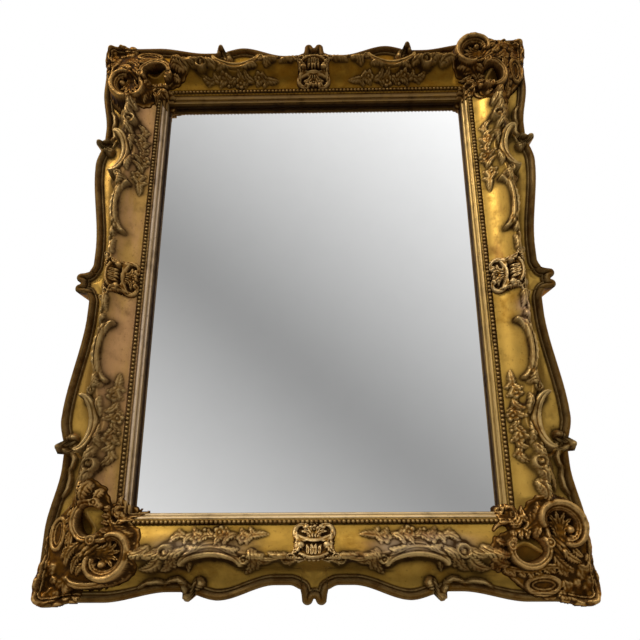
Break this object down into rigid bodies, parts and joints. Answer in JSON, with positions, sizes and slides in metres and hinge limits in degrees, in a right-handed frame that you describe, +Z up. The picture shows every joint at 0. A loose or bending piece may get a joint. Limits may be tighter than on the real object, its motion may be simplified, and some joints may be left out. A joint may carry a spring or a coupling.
{
  "type": "wall mirror",
  "caption": "Rectangular wall mirror in a deep carved and gilded swept frame, with scrolled corner and middle ornaments, hung by its back",
  "frame": {"origin": "on the flat back of the top rail, halfway along it, where the mirror lies against the wall", "axes": "+Z up, -Y out of the wall towards the person who looks in, +X to that person's right"},
  "size_m": [0.6506, 0.0742, 0.8036],
  "materials": {
    "gilt_wood": "gilded and worn, satin",
    "gilt_ornament": "gilded and toned, satin",
    "mirror_plate": "polished",
    "back_board": "raw, matt",
    "hanger_steel": "brushed"
  },
  "bodies": {
    "root": {"rail_top": "gilt_wood", "rail_bottom": "gilt_wood", "rail_left": "gilt_wood", "rail_right": "gilt_wood", "cartouche_top": "gilt_ornament", "cartouche_bottom": "gilt_ornament", "cartouche_left": "gilt_ornament", "cartouche_right": "gilt_ornament", "corner_top_left": "gilt_ornament", "corner_top_right": "gilt_ornament", "corner_bottom_left": "gilt_ornament", "corner_bottom_right": "gilt_ornament", "mirror_glass": "mirror_plate", "backboard": "back_board", "hanger_left": "hanger_steel", "hanger_right": "hanger_steel"}
  },
  "joints": []
}
